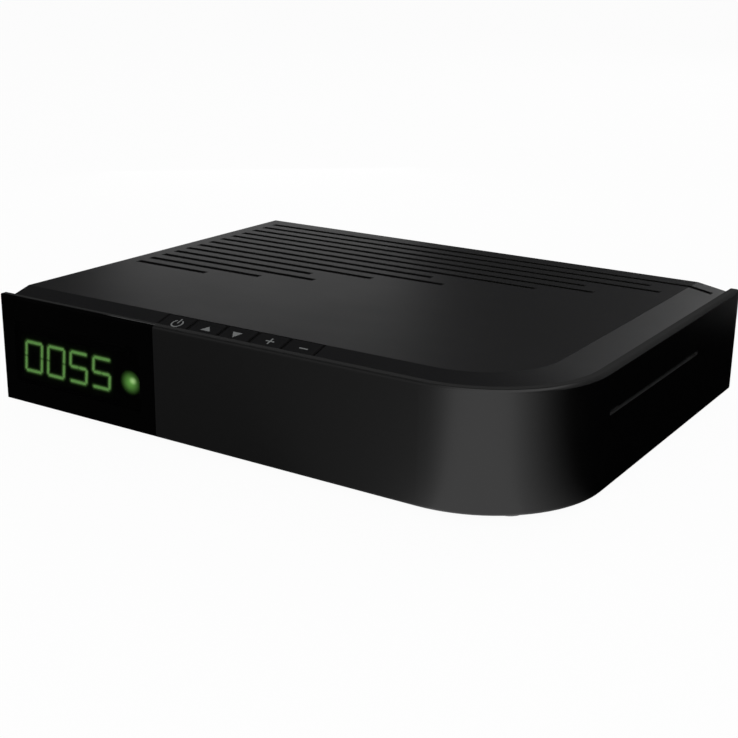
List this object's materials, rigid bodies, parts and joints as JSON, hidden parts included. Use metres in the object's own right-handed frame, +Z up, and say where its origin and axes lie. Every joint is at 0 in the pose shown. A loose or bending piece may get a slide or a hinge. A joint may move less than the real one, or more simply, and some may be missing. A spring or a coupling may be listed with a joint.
{
  "type": "satellite tv receiver",
  "caption": "compact satellite receiver: black wrap-round fascia with a smoked display window, slotted top cover, sprung top keys, card slot and rear sockets",
  "frame": {"origin": "bottom centre of the whole part's bounding box, on the surface that the feet stand on", "axes": "+X to the right seen from the front, the front faces -Y, +Z up"},
  "size_m": [0.2, 0.158, 0.041],
  "materials": {
    "fascia_plastic": "dark grey gloss",
    "smoked_acrylic": "polished black",
    "cover_plastic": "fine matt texture",
    "tray_plastic": "matt",
    "key_plastic": "satin",
    "panel_steel": "black powder coat",
    "foot_rubber": "matt",
    "zinc_screw": "zinc plated",
    "board_laminate": "green solder mask",
    "component_black": "moulded epoxy",
    "can_sleeve": "sleeved can",
    "tinned_steel": "tin plated sheet",
    "nickel_plate": "nickel plated",
    "sink_aluminium": "anodised",
    "socket_plastic": "moulded",
    "lit_green": "lit segment",
    "unlit_segment": "unlit segment",
    "module_plastic": "matt black",
    "cable_sheath": "flat cable"
  },
  "bodies": {
    "case": {"front_fascia": "fascia_plastic", "display_window": "smoked_acrylic", "top_cover": "cover_plastic", "base_tray": "tray_plastic", "rear_panel": "panel_steel", "rubber_feet": "foot_rubber", "case_screws": "zinc_screw", "rear_screws": "zinc_screw", "led_display": "module_plastic", "segments_lit": "lit_green", "segments_dark": "unlit_segment", "status_led": "lit_green", "led_diffuser": "lit_green", "ir_receiver": "component_black", "front_board": "board_laminate", "key_board": "board_laminate", "tact_switches": "component_black", "key_board_screws": "zinc_screw", "main_board": "board_laminate", "board_screws": "zinc_screw", "processor": "component_black", "heat_sink": "sink_aluminium", "memory_chips": "component_black", "flash_chip": "component_black", "capacitors": "can_sleeve", "power_inductors": "component_black", "cable_headers": "socket_plastic", "key_cable": "cable_sheath", "card_reader": "socket_plastic", "card_board": "board_laminate", "card_board_posts": "tinned_steel", "tuner_can": "tinned_steel", "tuner_lid": "tinned_steel", "lnb_in_socket": "nickel_plate", "lnb_out_socket": "nickel_plate", "lnb_nuts": "nickel_plate", "scart_socket": "tinned_steel", "scart_insert": "socket_plastic", "hdmi_socket": "nickel_plate", "usb_socket": "nickel_plate", "spdif_socket": "socket_plastic", "dc_inlet": "socket_plastic", "dc_pin": "nickel_plate"},
    "power_key": {"key_power": "key_plastic", "plunger_power": "component_black"},
    "up_key": {"key_up": "key_plastic", "plunger_up": "component_black"},
    "down_key": {"key_down": "key_plastic", "plunger_down": "component_black"},
    "plus_key": {"key_plus": "key_plastic", "plunger_plus": "component_black"},
    "minus_key": {"key_minus": "key_plastic", "plunger_minus": "component_black"}
  },
  "joints": [
    {"name": "press_power", "type": "slide", "parent": "case", "child": "power_key", "axis": [0, 0, -1], "range_m": [0, 0.0005], "stiffness_N_per_m": 2400},
    {"name": "press_up", "type": "slide", "parent": "case", "child": "up_key", "axis": [0, 0, -1], "range_m": [0, 0.0005], "stiffness_N_per_m": 2400},
    {"name": "press_down", "type": "slide", "parent": "case", "child": "down_key", "axis": [0, 0, -1], "range_m": [0, 0.0005], "stiffness_N_per_m": 2400},
    {"name": "press_plus", "type": "slide", "parent": "case", "child": "plus_key", "axis": [0, 0, -1], "range_m": [0, 0.0005], "stiffness_N_per_m": 2400},
    {"name": "press_minus", "type": "slide", "parent": "case", "child": "minus_key", "axis": [0, 0, -1], "range_m": [0, 0.0005], "stiffness_N_per_m": 2400}
  ]
}
